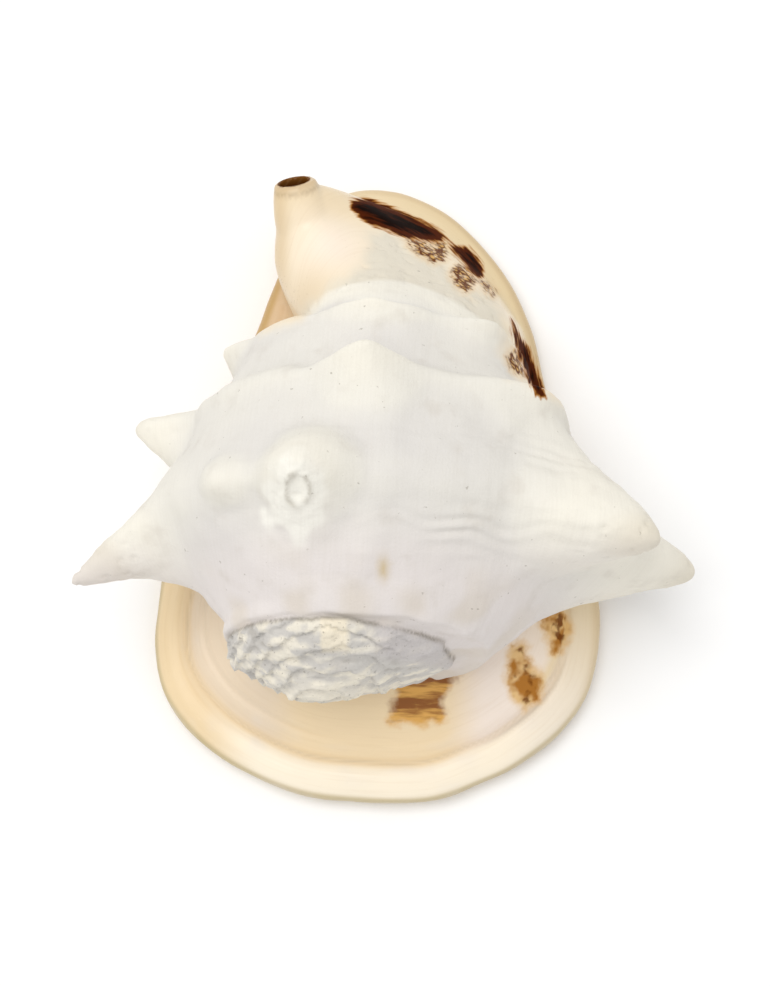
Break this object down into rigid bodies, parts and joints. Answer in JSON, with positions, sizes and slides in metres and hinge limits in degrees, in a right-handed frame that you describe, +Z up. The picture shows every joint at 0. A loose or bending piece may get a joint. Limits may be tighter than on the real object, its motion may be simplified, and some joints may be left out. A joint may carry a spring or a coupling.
{
  "type": "helmet shell",
  "caption": "Horned helmet shell lying on its flat glossy shield, with a chalky coiled body whorl, a low worn spire, a rolled lip and an upturned canal.",
  "frame": {"origin": "centre of the shell's box, on the surface it rests on", "axes": "+Z up, away from the aperture; +Y along the coil towards the siphonal canal, the spire pointing to -Y; +X towards the outer lip"},
  "size_m": [0.195, 0.2094, 0.1382],
  "materials": {
    "shell": "chalky, worn white outside with lilac-grey hollows; glossy cream and peach on the shield, lip and canal, with dark brown blotches"
  },
  "bodies": {
    "root": {"shell": "shell"}
  },
  "joints": []
}
